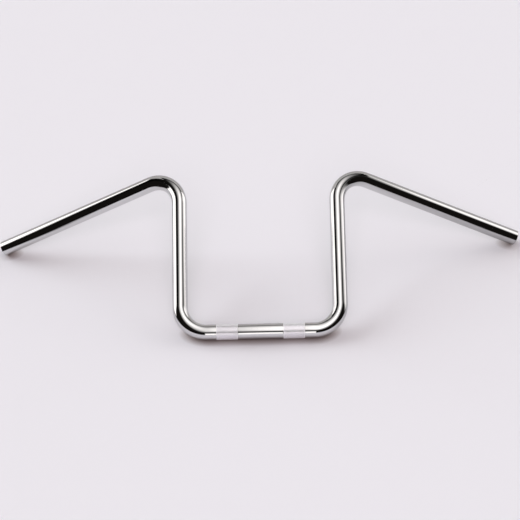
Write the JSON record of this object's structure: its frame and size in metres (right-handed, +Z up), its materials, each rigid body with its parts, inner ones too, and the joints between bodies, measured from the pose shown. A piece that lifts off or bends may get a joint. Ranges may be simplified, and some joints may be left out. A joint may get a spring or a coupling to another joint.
{
  "type": "motorcycle handlebar",
  "caption": "Chrome steel tube handlebar: uprights bent up from a clamp run with knurled bands, and straight arms for the grips that sweep out, back and down.",
  "frame": {"origin": "middle of the clamp run, on the tube's centre line", "axes": "+X along the clamp run, to the right as seen from -Y; +Z up from the table that the bar lies on, with its clamp bands and both arm ends touching it; +Y from the clamp run towards the uprights"},
  "size_m": [0.7772, 0.2279, 0.1392],
  "materials": {
    "chrome_plate": "bright chromium plate on polished steel tube, matt where the clamp bands are knurled, bare steel inside the bore"
  },
  "bodies": {
    "root": {"handlebar": "chrome_plate"}
  },
  "joints": []
}
